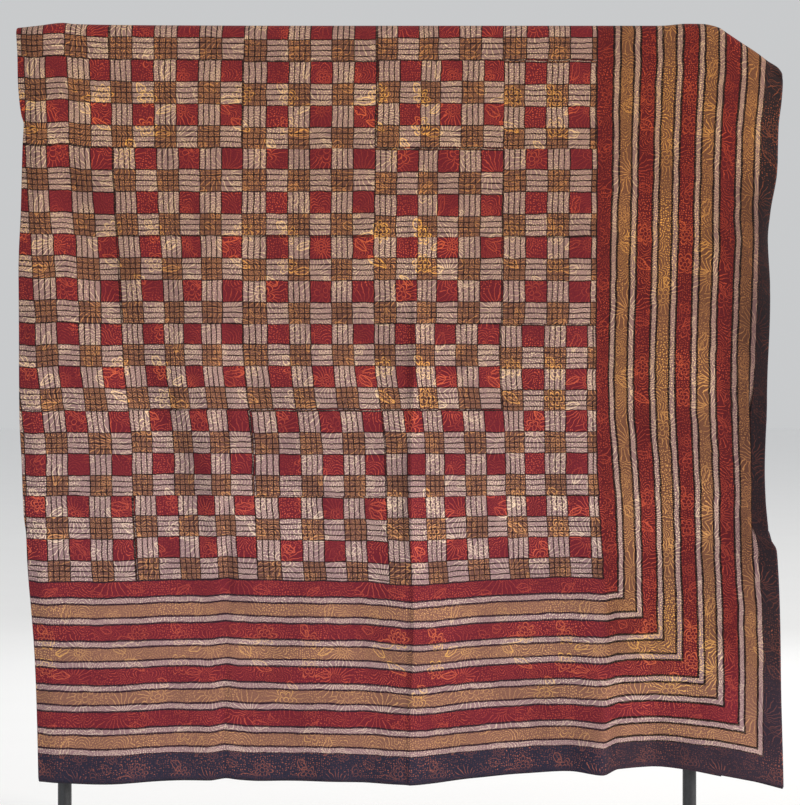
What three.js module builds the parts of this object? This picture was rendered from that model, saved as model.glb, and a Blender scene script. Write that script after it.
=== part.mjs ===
// A block-printed cotton bedspread, folded in half lengthwise and hung over a plain rail stand.
// Millimetres, +Z up. The front of the cloth faces -Y and the feet stand on Z = 0.
import * as THREE from 'three';

const { clamp, lerp, smoothstep } = THREE.MathUtils;

// Stand: a round rail on two posts, each on a foot that runs from front to back
const TUBE_RADIUS = 11;
const TUBE_SIDES = 32;
const RAIL_TOP = 1500;
const RAIL_OVERHANG = 43; // past the middle of each post
const POST_SPACING = 1008;
const STAND_MIDDLE = -37; // the cloth hangs further over the right end
const FOOT_LENGTH = 460;
const FOOT_WIDTH = 30;
const FOOT_HEIGHT = 24;
const FOOT_ROUNDING = 4;
const SEAT_GAP = 0.3; // between pieces that touch
const leftPostX = STAND_MIDDLE - POST_SPACING / 2;
const rightPostX = STAND_MIDDLE + POST_SPACING / 2;
const railLeft = leftPostX - RAIL_OVERHANG;
const railRight = rightPostX + RAIL_OVERHANG;
const railAxis = RAIL_TOP - TUBE_RADIUS;

// Cloth: two layers, joined at the fold down the left side
const CLOTH_THICKNESS = 1.2;
const LAYER_SPACING = 4; // between the middles of the two layers
const RAIL_CLEARANCE = 0.6; // under the cloth, on top of the rail
const FALL_CLEARANCE = 2.4; // between the posts and the cloth in front and behind
const END_CLEARANCE = 4; // level cloth past the rail's ends
const FREE_LOOP = 6; // half the loop's width where the cloth hangs past the rail
const INNER_EDGE = 513; // right edge of the inner layer, just past the rail's end
const HEM_DROP = 1208.5; // level line of the front hem below the rail's top
const INNER_DROP = 1191; // hem of the inner layer, front and back
const BACK_DROP = 1180; // hem of the outer layer behind
const EDGE_PULL = 260; // how far in from a side its outline pulls the cloth
const CURL_REACH = 60; // how far in from the free edge its curl starts
const SAG_FROM = 0.56; // the hem's waves reach up to this part of the fall
const WAIST = 0.75; // lower edge of the checked field

// The fold down the left side, from the top of the fall (0) to the hem (1)
const LEFT_FOLD = [
  { fall: 0.0, x: -613 },
  { fall: 0.07, x: -610 },
  { fall: 0.12, x: -604 },
  { fall: 0.19, x: -605 },
  { fall: 0.24, x: -608 },
  { fall: 0.39, x: -611 },
  { fall: 0.51, x: -608 },
  { fall: 0.61, x: -604 },
  { fall: 0.655, x: -600 },
  { fall: 0.7, x: -591 },
  { fall: 0.84, x: -589 },
  { fall: 0.92, x: -582 },
  { fall: 1.0, x: -579 },
];

// The free edge on the right, and how far it curls back
const FREE_EDGE = [
  { fall: 0.0, x: 608, curl: 0 },
  { fall: 0.05, x: 613, curl: 0 },
  { fall: 0.065, x: 616, curl: 0 },
  { fall: 0.09, x: 614, curl: 0 },
  { fall: 0.125, x: 609, curl: 0 },
  { fall: 0.186, x: 605, curl: 2 },
  { fall: 0.241, x: 594, curl: 9 },
  { fall: 0.275, x: 590, curl: 13 },
  { fall: 0.342, x: 593, curl: 10 },
  { fall: 0.476, x: 588, curl: 7 },
  { fall: 0.587, x: 584, curl: 7 },
  { fall: 0.623, x: 587, curl: 5 },
  { fall: 0.665, x: 593, curl: 2 },
  { fall: 0.69, x: 604, curl: 0 },
  { fall: 0.775, x: 607, curl: 0 },
  { fall: 0.876, x: 609, curl: 0 },
  { fall: 1.0, x: 613, curl: 0 },
];

// Top edge: level on the rail but for one buckle, falling away past both of its ends
const RIDGE = [
  { x: -613, drop: 5 },
  { x: railLeft - END_CLEARANCE, drop: 0 },
  { x: 420, drop: 0 },
  { x: 462, drop: -4.5 },
  { x: 486, drop: -4.5 },
  { x: railRight + END_CLEARANCE, drop: 0 },
  { x: 524, drop: 6.5 },
  { x: 549, drop: 24 },
  { x: 581, drop: 45 },
  { x: 606, drop: 65 },
];

// The front hem, and the field's lower edge at the waist: how far they hang below (+) or above (-) level
const HEM = [
  { x: -613, waist: 0, sag: 0 },
  { x: -490, waist: 1, sag: 3 },
  { x: -288, waist: -6, sag: -5 },
  { x: -64, waist: 0, sag: 0 },
  { x: 20, waist: 6, sag: 3 },
  { x: 118, waist: 0, sag: -6 },
  { x: 192, waist: -4, sag: -12 },
  { x: 272, waist: -7, sag: -17 },
  { x: 325, waist: -6, sag: -12 },
  { x: 349, waist: -9, sag: -19 },
  { x: 415, waist: -10, sag: -24 },
  { x: 502, waist: -7, sag: -11 },
  { x: 541, waist: -5, sag: -8 },
  { x: 579, waist: -1, sag: 2 },
  { x: 613, waist: 3, sag: 10 },
];

// Folds of the two falls: where each line runs at the top and at the hem, where down the fall it
// starts and is whole, how far it stands out (+) or goes in (-), and half its width
const LIFT = 10; // how far each fall hangs out from the posts between its folds
const LIFT_REACH = 0.22; // part of the fall over which it swings out
const FRONT_FOLDS = [
  { top: -470, hem: -450, from: 0.0, whole: 0.4, rise: 6, reach: 130 },
  { top: -312, hem: -278, from: 0.2, whole: 0.6, rise: -4, reach: 110 },
  { top: -120, hem: -130, from: 0.1, whole: 0.5, rise: 4, reach: 120 },
  { top: 18, hem: 18, from: 0.35, whole: 0.7, rise: 8, reach: 80 },
  { top: 190, hem: 200, from: 0.2, whole: 0.6, rise: -5, reach: 120 },
  { top: 325, hem: 325, from: 0.55, whole: 0.95, rise: 5, reach: 70 },
  { top: 400, hem: 410, from: 0.45, whole: 0.75, rise: -4, reach: 80 },
  { top: 560, hem: 590, from: 0.3, whole: 0.9, rise: 10, reach: 150 },
];
const BACK_FOLDS = [
  { top: -420, hem: -440, from: 0.1, whole: 0.5, rise: 9, reach: 170 },
  { top: -190, hem: -170, from: 0.2, whole: 0.6, rise: -7, reach: 140 },
  { top: 60, hem: 80, from: 0.1, whole: 0.6, rise: 8, reach: 160 },
  { top: 300, hem: 290, from: 0.3, whole: 0.7, rise: -7, reach: 120 },
  { top: 470, hem: 500, from: 0.1, whole: 0.5, rise: 9, reach: 150 },
];

// Fineness of the cloth's facets, with a column on each main crease and bend of the top edge
const CREASES = [-278, 18, 325, 415, 474];
const SLOPE_COLUMNS = [549, 581];
const COLUMN_STEP = 56;
const FALL_STEPS = 16;
const OVER_STEPS = 6;
const BEND_STEPS = 4;

const topLeft = LEFT_FOLD[0].x;
const topRight = FREE_EDGE[0].x;

// A curve through a table's rows that never swings past them
function curveThrough(rows, key, column) {
  const at = rows.map((row) => row[key]);
  const value = rows.map((row) => row[column]);
  const slope = at.slice(1).map((x, i) => (value[i + 1] - value[i]) / (x - at[i]));
  const tangent = at.map((x, i) => {
    const before = slope[i - 1] ?? slope[i];
    const after = slope[i] ?? slope[i - 1];
    return before * after > 0 ? (2 * before * after) / (before + after) : 0;
  });
  return (x) => {
    const inside = clamp(x, at[0], at[at.length - 1]);
    const next = Math.max(1, at.findIndex((end) => end >= inside));
    const last = next - 1;
    const span = at[next] - at[last];
    const s = (inside - at[last]) / span;
    const rise = value[next] - value[last];
    const ease = s * s * (3 - 2 * s);
    const bow = s * (1 - s) * span;
    return value[last] + rise * ease + bow * (tangent[last] * (1 - s) - tangent[next] * s);
  };
}

const leftAt = curveThrough(LEFT_FOLD, 'fall', 'x');
const rightAt = curveThrough(FREE_EDGE, 'fall', 'x');
const curlAt = curveThrough(FREE_EDGE, 'fall', 'curl');
const ridgeDrop = curveThrough(RIDGE, 'x', 'drop');
const waistSag = curveThrough(HEM, 'x', 'waist');
const hemSag = curveThrough(HEM, 'x', 'sag');

// 1 on the rail, 0 at the cloth's sides
function onRail(x) {
  const pastLeft = smoothstep(railLeft - x, END_CLEARANCE, railLeft - topLeft);
  const pastRight = smoothstep(x - railRight, END_CLEARANCE, topRight - railRight);
  return 1 - Math.max(pastLeft, pastRight);
}

// How far a fall stands out from the posts at x, part of the way down
function standOut(folds, x, fall) {
  const total = folds.reduce((sum, fold) => {
    const line = lerp(fold.top, fold.hem, fall);
    const off = Math.min(1, Math.abs(x - line) / fold.reach);
    const grown = smoothstep(fall, fold.from, fold.whole);
    return sum + fold.rise * grown * (0.5 + 0.5 * Math.cos(Math.PI * off));
  }, LIFT);
  return Math.max(0, total) * smoothstep(fall, 0, LIFT_REACH);
}

// How far the front hangs below level at x: the waves of its waist and of its hem
function sagAt(x, fall) {
  const belowWaist = clamp((fall - WAIST) / (1 - WAIST), 0, 1) ** 2;
  return lerp(waistSag(x) * smoothstep(fall, SAG_FROM, WAIST), hemSag(x), belowWaist);
}

// The outline pulls the columns near each side in or out, and leaves the middle ones straight. Where
// the top edge slopes, a column starts further down the outline.
function columnX(topX, stationFall) {
  const fall = stationFall + (ridgeDrop(topX) * (1 - stationFall)) / HEM_DROP;
  const nearLeft = Math.max(0, 1 - (topX - topLeft) / EDGE_PULL);
  const nearRight = Math.max(0, 1 - (topRight - topX) / EDGE_PULL);
  const pullLeft = (leftAt(fall) - topLeft) * nearLeft ** 2;
  const pullRight = (rightAt(fall) - topRight) * nearRight ** 2;
  return topX + pullLeft + pullRight;
}

// A point of the cloth: out is 0 on the inner layer's middle and LAYER_SPACING on the outer one's
function clothPoint(topX, out, station) {
  const x = columnX(topX, station.fall);
  const hold = onRail(topX);
  const half = CLOTH_THICKNESS / 2;
  const halfWide = lerp(FREE_LOOP, TUBE_RADIUS + FALL_CLEARANCE, hold) + half;
  const halfHigh = lerp(FREE_LOOP, TUBE_RADIUS + RAIL_CLEARANCE, hold) + half;
  const crown = RAIL_TOP + RAIL_CLEARANCE + half - ridgeDrop(topX);
  const spring = crown - halfHigh;
  if (station.part === 'over') {
    const y = (halfWide + out) * Math.sin(station.turn);
    return new THREE.Vector3(x, y, spring + (halfHigh + out) * Math.cos(station.turn));
  }
  const outerShare = clamp(out / LAYER_SPACING, 0, 1);
  const isFront = station.part === 'front';
  const outerDrop = isFront ? HEM_DROP : BACK_DROP;
  const hem = RAIL_TOP - lerp(INNER_DROP, outerDrop, outerShare);
  const sag = isFront ? sagAt(x, station.fall) * outerShare : 0;
  const z = lerp(spring, hem, station.fall) - sag;
  const nearEdge = Math.max(0, 1 - (topRight - topX) / CURL_REACH);
  const curl = curlAt(station.fall) * nearEdge ** 2;
  const stand = halfWide + out + standOut(isFront ? FRONT_FOLDS : BACK_FOLDS, x, station.fall) - curl;
  return new THREE.Vector3(x, isFront ? -stand : stand, z);
}

// The stations from the front hem up, over the rail and down to the hem behind
function drapeStations() {
  const stations = [];
  for (let i = FALL_STEPS; i > 0; i--) stations.push({ part: 'front', fall: i / FALL_STEPS });
  for (let i = 0; i <= OVER_STEPS; i++) {
    stations.push({ part: 'over', fall: 0, turn: Math.PI * (i / OVER_STEPS - 0.5) });
  }
  for (let i = 1; i <= FALL_STEPS; i++) stations.push({ part: 'back', fall: i / FALL_STEPS });
  return stations;
}

// Columns at each stop, with even ones between them
function columnsBetween(stops) {
  const columns = [stops[0]];
  stops.slice(1).forEach((stop, i) => {
    const count = Math.ceil((stop - stops[i]) / COLUMN_STEP);
    for (let k = 1; k <= count; k++) columns.push(lerp(stops[i], stop, k / count));
  });
  return columns;
}

// The folded section from the free right edge, round the left bend, to the inner layer's edge: the
// place of each point and the way that the outside faces there
function foldedSection() {
  const radius = LAYER_SPACING / 2;
  const bendX = topLeft + radius;
  const shared = [bendX, railLeft - END_CLEARANCE, ...CREASES];
  const outer = columnsBetween([...shared, railRight + END_CLEARANCE, ...SLOPE_COLUMNS, topRight]);
  const inner = columnsBetween([...shared, INNER_EDGE]);
  const section = outer.reverse().map((x) => ({ x, out: LAYER_SPACING, faceX: 0, faceOut: 1 }));
  for (let i = 1; i < BEND_STEPS; i++) {
    const turn = (Math.PI * i) / BEND_STEPS;
    const faceX = -Math.sin(turn);
    const faceOut = Math.cos(turn);
    section.push({ x: bendX + radius * faceX, out: radius + radius * faceOut, faceX, faceOut });
  }
  return section.concat(inner.map((x) => ({ x, out: 0, faceX: 0, faceOut: -1 })));
}

// A closed sheet between two grids of points that lie face to face
function closedSheet(outside, inside) {
  const columns = outside[0].length;
  const stations = outside.length;
  const outer = (s, c) => s * columns + c;
  const inner = (s, c) => stations * columns + outer(s, c);
  const triangles = [];
  const quad = (a, b, c, d) => triangles.push(a, b, c, a, c, d);
  for (let s = 0; s < stations - 1; s++) {
    for (let c = 0; c < columns - 1; c++) {
      quad(outer(s, c), outer(s + 1, c), outer(s + 1, c + 1), outer(s, c + 1));
      quad(inner(s, c), inner(s, c + 1), inner(s + 1, c + 1), inner(s + 1, c));
    }
    const end = columns - 1;
    quad(outer(s, 0), inner(s, 0), inner(s + 1, 0), outer(s + 1, 0));
    quad(outer(s, end), outer(s + 1, end), inner(s + 1, end), inner(s, end));
  }
  for (let c = 0; c < columns - 1; c++) {
    const end = stations - 1;
    quad(outer(0, c), outer(0, c + 1), inner(0, c + 1), inner(0, c));
    quad(outer(end, c), inner(end, c), inner(end, c + 1), outer(end, c + 1));
  }
  const points = [...outside.flat(), ...inside.flat()];
  const geometry = new THREE.BufferGeometry().setFromPoints(points);
  geometry.setIndex(triangles);
  geometry.computeVertexNormals();
  return geometry;
}

function bedspread() {
  const section = foldedSection();
  const half = CLOTH_THICKNESS / 2;
  const side = (way) => drapeStations().map((station) => section.map((point) => {
    const shiftedX = point.x + way * half * point.faceX;
    const shiftedOut = point.out + way * half * point.faceOut;
    return clothPoint(shiftedX, shiftedOut, station);
  }));
  const cotton = new THREE.MeshStandardMaterial({ color: 0x8a3a34, roughness: 0.9, metalness: 0 });
  return named('bedspread', closedSheet(side(1), side(-1)), cotton);
}

function named(name, geometry, material) {
  const mesh = new THREE.Mesh(geometry, material);
  mesh.name = name;
  return mesh;
}

function blackPaint() {
  return new THREE.MeshStandardMaterial({ color: 0x17171a, roughness: 0.45, metalness: 0.3 });
}

function topRail() {
  const length = railRight - railLeft;
  const tube = new THREE.CylinderGeometry(TUBE_RADIUS, TUBE_RADIUS, length, TUBE_SIDES);
  const rail = named('top_rail', tube, blackPaint());
  rail.rotation.z = Math.PI / 2;
  rail.position.set(STAND_MIDDLE, 0, railAxis);
  return rail;
}

function post(name, x) {
  const foot = FOOT_HEIGHT + SEAT_GAP;
  const head = railAxis - TUBE_RADIUS - SEAT_GAP;
  const tube = new THREE.CylinderGeometry(TUBE_RADIUS, TUBE_RADIUS, head - foot, TUBE_SIDES);
  const upright = named(name, tube, blackPaint());
  upright.rotation.x = Math.PI / 2;
  upright.position.set(x, 0, (head + foot) / 2);
  return upright;
}

// A flat bar with round ends and a softened upper edge
function foot(name, x) {
  const radius = FOOT_WIDTH / 2;
  const reach = FOOT_LENGTH / 2 - radius;
  const outline = new THREE.Shape();
  outline.absarc(0, reach, radius - FOOT_ROUNDING, 0, Math.PI);
  outline.absarc(0, -reach, radius - FOOT_ROUNDING, Math.PI, 2 * Math.PI);
  const bar = new THREE.ExtrudeGeometry(outline, {
    depth: FOOT_HEIGHT - 2 * FOOT_ROUNDING,
    bevelSize: FOOT_ROUNDING,
    bevelThickness: FOOT_ROUNDING,
    bevelSegments: 2,
    curveSegments: 8,
  });
  const base = named(name, bar, blackPaint());
  base.position.set(x, 0, FOOT_ROUNDING);
  return base;
}

const part = new THREE.Group();
part.add(
  bedspread(),
  topRail(),
  post('left_post', leftPostX),
  post('right_post', rightPostX),
  foot('left_foot', leftPostX),
  foot('right_foot', rightPostX),
);
part.position.x = -new THREE.Box3().setFromObject(part).getCenter(new THREE.Vector3()).x;

export default part;
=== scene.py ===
import math

import bpy
import numpy as np
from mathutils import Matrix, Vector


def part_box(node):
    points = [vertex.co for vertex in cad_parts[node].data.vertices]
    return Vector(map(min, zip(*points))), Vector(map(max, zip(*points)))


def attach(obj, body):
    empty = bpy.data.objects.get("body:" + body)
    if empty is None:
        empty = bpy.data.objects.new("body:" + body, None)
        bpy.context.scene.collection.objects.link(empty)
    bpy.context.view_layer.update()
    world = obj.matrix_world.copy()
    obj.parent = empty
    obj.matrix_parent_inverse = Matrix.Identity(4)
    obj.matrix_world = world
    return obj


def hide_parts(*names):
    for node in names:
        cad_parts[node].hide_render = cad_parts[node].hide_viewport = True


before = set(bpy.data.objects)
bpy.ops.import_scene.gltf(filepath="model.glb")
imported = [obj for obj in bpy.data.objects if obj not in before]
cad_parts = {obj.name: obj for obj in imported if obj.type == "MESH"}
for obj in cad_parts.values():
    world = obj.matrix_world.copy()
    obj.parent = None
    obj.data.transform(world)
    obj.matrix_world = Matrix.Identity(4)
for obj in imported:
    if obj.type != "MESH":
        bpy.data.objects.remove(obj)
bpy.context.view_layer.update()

bpy.ops.object.select_all(action="DESELECT")

# Flat cloth, as cut: u runs across it from the free right edge, v along it from the front hem
CLOTH_WIDTH = 2.40
CLOTH_LENGTH = 2.45
HEM_TURN = 0.010  # depth of the hem that is turned to the back of the cloth
HEM_STEP = 0.0016  # how far the turned hem lies behind the face
TURNED_HEM = [  # from its raw edge round its bend: how deep each step lies, and its share of the way back
    dict(depth=HEM_TURN, back=1.0),
    dict(depth=HEM_STEP, back=1.0),
    dict(depth=0.0, back=0.5),
]

# How the cloth hangs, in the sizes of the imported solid
LAYER_SPACING = 0.004  # between the outer and the inner layer
CLOTH_HALF = 0.0006  # half the cloth's thickness
RAIL_CLEARANCE = 0.0006  # over the rail
FALL_CLEARANCE = 0.0024  # in front of the rail and behind it
END_CLEARANCE = 0.004  # past the rail's ends
FREE_LOOP = 0.006  # half the loop of cloth past the rail's ends
FURTHER_RIGHT = 0.037  # how much further the cloth hangs over the rail's right end
INNER_EDGE = 0.513  # the inner layer's free edge
INNER_IN = 0.0007  # how much further in the inner layer hangs below the rail
HEM_DROP = 1.2085  # from the rail's top to the front hem
INNER_DROP = 1.182  # and to the inner layer's hem
INNER_DIP = 0.0180  # how much lower the inner layer's corner hangs
INNER_DIP_FROM = 0.42  # where across the cloth the dip starts, and where it is whole
INNER_DIP_TO = 0.53
BACK_DROP = 1.180  # from the rail's top to the hem behind
LIFT = 0.010  # how far a fall stands out from the posts
LIFT_REACH = 0.22  # the part of the fall over which it comes to stand out
SAG_FROM = 0.56  # the hem's waves reach up to this part of the fall
WAIST = 0.75  # the field's lower edge

rail_low, rail_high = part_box("top_rail")
RAIL_RADIUS = (rail_high[2] - rail_low[2]) / 2
RAIL_TOP = rail_high[2]
CLOTH_MIDDLE = (rail_low[0] + rail_high[0]) / 2 + FURTHER_RIGHT
RAIL_LEFT = rail_low[0] - CLOTH_MIDDLE
RAIL_RIGHT = rail_high[0] - CLOTH_MIDDLE

# Print sizes, in millimetres on the flat cloth
MM = 1000.0  # in a metre
BAND = 46.0  # dark band along the hem
BAND_CUT = 17.0  # part of the band that is cut away along the sides
STRIPE_REPEAT = 69.6  # one run of stripes
STRIPE_RUNS = 4
BORDER = BAND + STRIPE_RUNS * STRIPE_REPEAT
PALE_END = 0.157  # shares of one run of stripes: pale, ochre, pale, red
OCHRE_END = 0.470
SECOND_PALE_END = 0.621
SIDE_SOFT = 10.0  # to each side of the line where the side border's dyes take over
REPEAT = 70.4  # of the check
BUNDLE_START = 0.25  # a bundle of lines, in repeats from the middle of a red square
BUNDLE_WIDTH = 0.5
LINES_IN_REPEAT = 8.0
FIRST_RED_U = 332.4  # middle of the last red column at the top of the front
FRONT_TOP = 1150.0  # where that is, from the front hem
CHECK_LEAN = 0.0110  # how far its columns lean for each millimetre along
FIRST_ROW = 0.73  # repeats from the border to the middle of the first red row
FIRST_RED_V = BORDER + FIRST_ROW * REPEAT
BLOCK_ACROSS = 3.0  # repeats in one printing block
BLOCK_ALONG = 2.0
FIRST_JOINT_U = 1.75  # a joint between blocks, in repeats from the first red
FIRST_JOINT_V = 1.25
BLOCK_SLIP = 0.085  # how far out of step blocks meet, in repeats

# Outlines: half their width, what changes it, and how much they cover
INK = dict(half=0.52, worn=0.9, ochre_thinner=0.15, border_wider=0.6, side_wider=0.25, soft=0.35,
           covers=0.8)
JOINT = dict(half=0.1, worn=1.7, level_thinner=0.45)

# Under-print of flowers, in millimetres and shares. Luck adds up to the more_ sizes, bare is the share of
# places without the motif, and shuffle draws a new number out of an old one
FLOWER_BLOCK = 219.0
FIRST_FLOWER_U = 190.0  # middle of the first block of flowers
FIRST_FLOWER_V = 213.0
FLOWER_SLIP = 5.0  # how far out of step these blocks meet
FULL_TURN = 6.2832
ANY_TURN = 6.28  # luck turns a motif any way
BLOOM = dict(spacing=52.0, loose=0.8, shuffle=3.7, bare=0.4, petals=5.0, more_petals=4.0, size=11.0,
             more_size=8.0, roundness=0.7, lobe=0.6, echo=0.66, eye=0.22, eye_half=0.5, clear=1.5)
LEAF = dict(spacing=47.0, loose=0.9, shuffle=9.1, bare=0.38, shift_u=31.0, shift_v=17.0, length=9.0,
            more_length=9.0, side=4.0, more_side=3.0, vein_half=0.45)
ARC = dict(step=4.6, half=0.48, dash=7.0, dash_shift=0.37, dash_gap=0.22)
RAY = dict(count=23.0, half=0.48, from_middle=8.5, shuffle=7.3, bare=0.55)
DOT = dict(spacing=3.8, loose=0.55, half=0.8, shuffle=5.7, bare=0.64)

# Strength of the under-print: bolder in the middle of a block, and by patches and areas
BRIGHT = dict(start=115.0, whole=40.0, by_luck=0.65, bold_half=0.5, bolder=0.45, least=0.65, luckier=0.15,
              brighter=0.3)
FILL = dict(start=0.32, whole=0.62, patch=0.5, least=0.52, end_fainter=0.1, side_brighter=0.35)
BOLD = dict(border_fainter=0.3, band_fainter=0.35)
FAINT_SIDE = dict(start=0.62, whole=0.46, share=0.5)
FAINT_RED = dict(start=0.56, whole=0.44, share=0.5)

# Where plain places, the darker side border, painted shade and gold start and are whole, in millimetres
# from a side or an end
PLAIN_HEM = dict(start=12.0, whole=8.0, share=0.8)
# Painted shade where the free edge curls back: where it starts and is whole, and how much it quiets the
# fine lines
CURL_SHADE_PLACE = dict(side=128.0, side_whole=62.0, low=270.0, low_whole=400.0, high=1075.0, high_whole=930.0,
                 quiet=0.65)
# Painted shade with a warm tint, growing towards the rail; more gold lines follow the same share
NEAR_RAIL = dict(start=250.0, whole=1050.0)
DEEP = dict(start=110.0, whole=260.0, on_pale=0.35)
GOLD = dict(low=420.0, low_whole=280.0, share=0.85, less_on_red=0.85)

# Unevenness of print and cloth: the size of its spots in millimetres, and what it does
SWAY_SPOTS = 38.0
SWAY = 3.6  # how far lines sway
SHAKE_SPOTS = 3.0
SHAKE = 0.45  # how far they shake
WANDER_SPOTS = 17.0
WANDER = 9.0  # how far the under-print's lines wander
WORN_SPOTS = 16.0
PATCH_SPOTS = 90.0
SPECKLE_SPOTS = 2.2
CLOUD_SPOTS = 60.0
CRINKLE_SPOTS = 14.0
SLUB_SPOTS = 5.0
SLUB_STRETCH = 6.0  # how much longer than wide a slub is
SLUB_HEIGHT = 0.3  # share of a crinkle's height
TONE = dict(least=0.525, speckle=0.46, cloud=0.23)
MATT = dict(least=0.82, speckle=0.12)

# The right border, from the free edge in to its first pale stripe and on to the checked field
BORDER_WIDTH = (BORDER - BAND_CUT) / MM
FIRST_STRIPE = BORDER_WIDTH - (1 - (OCHRE_END + SECOND_PALE_END) / 2) * STRIPE_REPEAT / MM
FIELD_SPREAD = 0.996  # how wide the field hangs for its flat width
TUCK_FROM = 0.0415  # a tuck hides cloth between these distances from the free edge
TUCK_TO = 0.0285
TUCK_DEPTH = 0.6  # how far it goes in for what it hides
CURL_FROM = 0.040  # nearer the free edge than this, the cloth curls back
CURL_DEPTH = 1.1  # how far the edge goes back for what it draws in

# The fold down the left side: its place at each part of the fall
LEFT_FOLD = [
    dict(fall=0.000, x=-0.6178),
    dict(fall=0.032, x=-0.6156),
    dict(fall=0.062, x=-0.6148),
    dict(fall=0.091, x=-0.6120),
    dict(fall=0.113, x=-0.6080),
    dict(fall=0.123, x=-0.6042),
    dict(fall=0.150, x=-0.6055),
    dict(fall=0.240, x=-0.6080),
    dict(fall=0.324, x=-0.6116),
    dict(fall=0.430, x=-0.6118),
    dict(fall=0.516, x=-0.6106),
    dict(fall=0.580, x=-0.6070),
    dict(fall=0.644, x=-0.6040),
    dict(fall=0.676, x=-0.5995),
    dict(fall=0.708, x=-0.5978),
    dict(fall=0.740, x=-0.5950),
    dict(fall=0.772, x=-0.5915),
    dict(fall=0.836, x=-0.5862),
    dict(fall=0.930, x=-0.5822),
    dict(fall=1.000, x=-0.5800),
]

# The right border: where the field ends, its first pale stripe, how wide the stripes hang for their flat
# width, and the free edge
RIGHT_BORDER = [
    dict(fall=0.000, field=0.3160, stripe=0.3500, drawn=0.976, edge=0.6080),
    dict(fall=0.050, field=0.3155, stripe=0.3488, drawn=0.976, edge=0.6126),
    dict(fall=0.065, field=0.3152, stripe=0.3476, drawn=0.975, edge=0.6160),
    dict(fall=0.090, field=0.3150, stripe=0.3468, drawn=0.968, edge=0.6140),
    dict(fall=0.125, field=0.3148, stripe=0.3464, drawn=0.950, edge=0.6086),
    dict(fall=0.186, field=0.3145, stripe=0.3454, drawn=0.940, edge=0.6052),
    dict(fall=0.241, field=0.3141, stripe=0.3432, drawn=0.943, edge=0.5956),
    dict(fall=0.275, field=0.3140, stripe=0.3424, drawn=0.950, edge=0.5926),
    dict(fall=0.342, field=0.3138, stripe=0.3408, drawn=0.944, edge=0.5948),
    dict(fall=0.476, field=0.3136, stripe=0.3376, drawn=0.942, edge=0.5894),
    dict(fall=0.587, field=0.3155, stripe=0.3466, drawn=0.920, edge=0.5852),
    dict(fall=0.623, field=0.3172, stripe=0.3496, drawn=0.908, edge=0.5862),
    dict(fall=0.665, field=0.3202, stripe=0.3516, drawn=0.898, edge=0.5902),
    dict(fall=0.678, field=0.3210, stripe=0.3519, drawn=0.898, edge=0.5945),
    dict(fall=0.692, field=0.3218, stripe=0.3522, drawn=0.898, edge=0.6034),
    dict(fall=0.775, field=0.3272, stripe=0.3530, drawn=0.916, edge=0.6074),
    dict(fall=0.876, field=0.3270, stripe=0.3520, drawn=0.930, edge=0.6090),
    dict(fall=1.000, field=0.3250, stripe=0.3500, drawn=0.930, edge=0.6130),
]

# The tuck beside the free edge: how much cloth it hides
TUCK = [
    dict(fall=0.000, hidden=0.0000),
    dict(fall=0.430, hidden=0.0000),
    dict(fall=0.480, hidden=0.0045),
    dict(fall=0.515, hidden=0.0112),
    dict(fall=0.655, hidden=0.0116),
    dict(fall=0.675, hidden=0.0020),
    dict(fall=0.700, hidden=0.0000),
    dict(fall=1.000, hidden=0.0000),
]

# Top edge: level on the rail but for two buckles, falling away past both of its ends
RIDGE = [
    dict(x=-0.618, drop=0.0015),
    dict(x=RAIL_LEFT - END_CLEARANCE, drop=-0.0015),
    dict(x=-0.540, drop=-0.0068),
    dict(x=-0.530, drop=-0.0050),
    dict(x=-0.480, drop=-0.0036),
    dict(x=-0.384, drop=-0.0027),
    dict(x=-0.160, drop=-0.0020),
    dict(x=0.420, drop=-0.0020),
    dict(x=0.462, drop=-0.0052),
    dict(x=0.486, drop=-0.0050),
    dict(x=RAIL_RIGHT + END_CLEARANCE, drop=0.0010),
    dict(x=0.524, drop=0.0075),
    dict(x=0.549, drop=0.0240),
    dict(x=0.581, drop=0.0450),
    dict(x=0.593, drop=0.0545),
    dict(x=0.6055, drop=0.0650),
    dict(x=0.608, drop=0.0725),
]

# The front hem, and the field's lower edge at the waist: how far they hang below (+) or above (-) level
HEM = [
    dict(x=-0.613, waist=0.000, sag=0.000),
    dict(x=-0.490, waist=0.0014, sag=0.003),
    dict(x=-0.352, waist=-0.0026, sag=-0.0028),
    dict(x=-0.305, waist=-0.0027, sag=-0.0018),
    dict(x=-0.277, waist=-0.0052, sag=-0.0054),
    dict(x=-0.256, waist=-0.0034, sag=-0.0030),
    dict(x=-0.224, waist=-0.0024, sag=-0.0012),
    dict(x=-0.180, waist=-0.0016, sag=-0.0018),
    dict(x=-0.064, waist=0.000, sag=0.000),
    dict(x=0.020, waist=0.0056, sag=0.003),
    dict(x=0.118, waist=-0.0004, sag=-0.006),
    dict(x=0.192, waist=-0.0040, sag=-0.012),
    dict(x=0.272, waist=-0.0066, sag=-0.017),
    dict(x=0.325, waist=-0.0056, sag=-0.012),
    dict(x=0.349, waist=-0.0090, sag=-0.021),
    dict(x=0.410, waist=-0.0100, sag=-0.0238),
    dict(x=0.450, waist=-0.0088, sag=-0.0208),
    dict(x=0.512, waist=-0.0070, sag=-0.0132),
    dict(x=0.560, waist=-0.0040, sag=-0.0028),
    dict(x=0.613, waist=0.0030, sag=0.0115),
]

# How much of the cloth's length hangs below each part of the front fall
FRONT_LENGTH = [
    dict(fall=0.000, v=1.2110),
    dict(fall=0.049, v=1.1524),
    dict(fall=0.227, v=0.9408),
    dict(fall=0.402, v=0.7292),
    dict(fall=0.574, v=0.5176),
    dict(fall=0.732, v=0.3234),
    dict(fall=1.000, v=0.0000),
]

# Beside the fold the cloth is pulled up over the rail: how far, and where that fades out
PULLED_UP = 0.0056
PULLED_WHOLE = dict(x=-0.615, fall=0.27)
PULLED_GONE = dict(x=-0.465, fall=0.47)

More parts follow.
